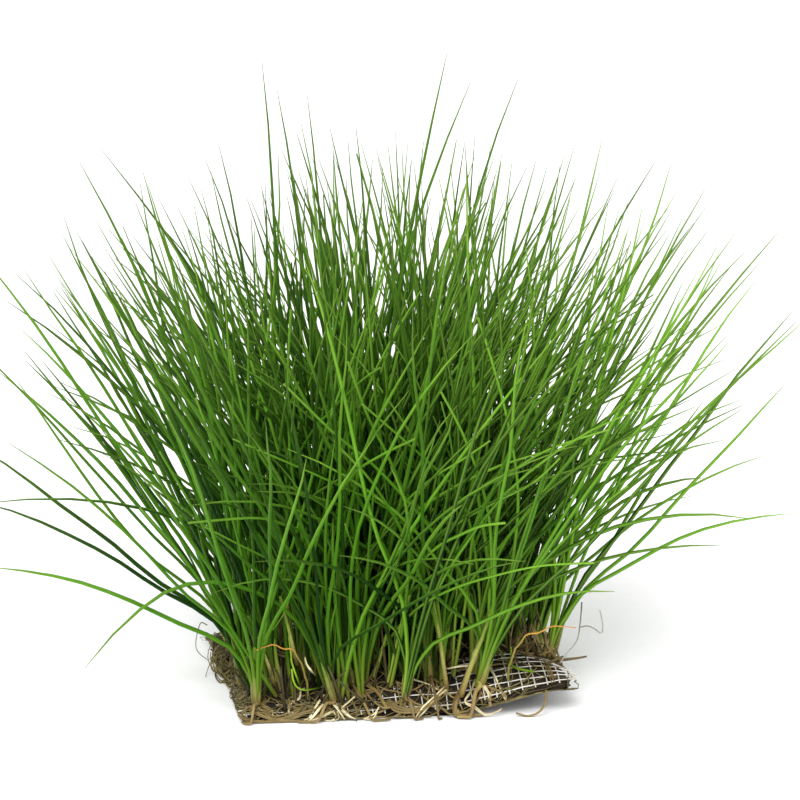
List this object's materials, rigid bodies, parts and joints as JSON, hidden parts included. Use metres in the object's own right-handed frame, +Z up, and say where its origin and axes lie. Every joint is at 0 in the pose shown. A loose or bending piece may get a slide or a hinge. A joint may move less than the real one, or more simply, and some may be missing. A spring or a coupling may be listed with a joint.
{
  "type": "dwarf hairgrass on a net mat",
  "caption": "Clump of dwarf hairgrass, an aquarium foreground plant, rooted through a cut square of plastic net over a thin slab of roots and peat.",
  "frame": {"origin": "on the flat underside of the root slab, halfway from front to back, behind the middle of the front edge", "axes": "+X along the mat's front edge, to the right as the picture sees it; -Y towards the viewer; +Z up, out of the resting face"},
  "size_m": [0.2139, 0.1955, 0.1641],
  "materials": {
    "leaf": "satin",
    "peat": "matte",
    "net_plastic": "satin",
    "root": "satin",
    "dead_leaf": "matte"
  },
  "bodies": {
    "root": {"dead_blade_left": "dead_leaf", "dead_blade_right": "dead_leaf", "front_root_1": "root", "front_root_2": "root", "front_root_3": "root", "front_root_4": "root", "front_root_5": "root", "front_root_6": "root", "net": "net_plastic", "root_mat": "peat", "tuft_01": "leaf", "tuft_02": "leaf", "tuft_03": "leaf", "tuft_04": "leaf", "tuft_05": "leaf", "tuft_06": "leaf", "tuft_07": "leaf", "tuft_08": "leaf", "tuft_09": "leaf", "tuft_10": "leaf", "tuft_11": "leaf", "tuft_12": "leaf", "tuft_13": "leaf", "tuft_14": "leaf", "tuft_15": "leaf", "tuft_16": "leaf", "tuft_17": "leaf", "tuft_18": "leaf", "tuft_19": "leaf", "tuft_20": "leaf", "tuft_21": "leaf", "tuft_22": "leaf", "tuft_23": "leaf", "tuft_24": "leaf", "tuft_25": "leaf", "tuft_26": "leaf", "tuft_27": "leaf", "tuft_28": "leaf", "tuft_29": "leaf", "tuft_30": "leaf", "tuft_31": "leaf", "tuft_32": "leaf", "tuft_33": "leaf", "tuft_34": "leaf", "tuft_35": "leaf", "tuft_36": "leaf", "tuft_37": "leaf", "tuft_38": "leaf", "tuft_39": "leaf", "tuft_40": "leaf", "tuft_41": "leaf", "tuft_42": "leaf", "tuft_43": "leaf", "tuft_44": "leaf", "tuft_45": "leaf"}
  },
  "joints": []
}
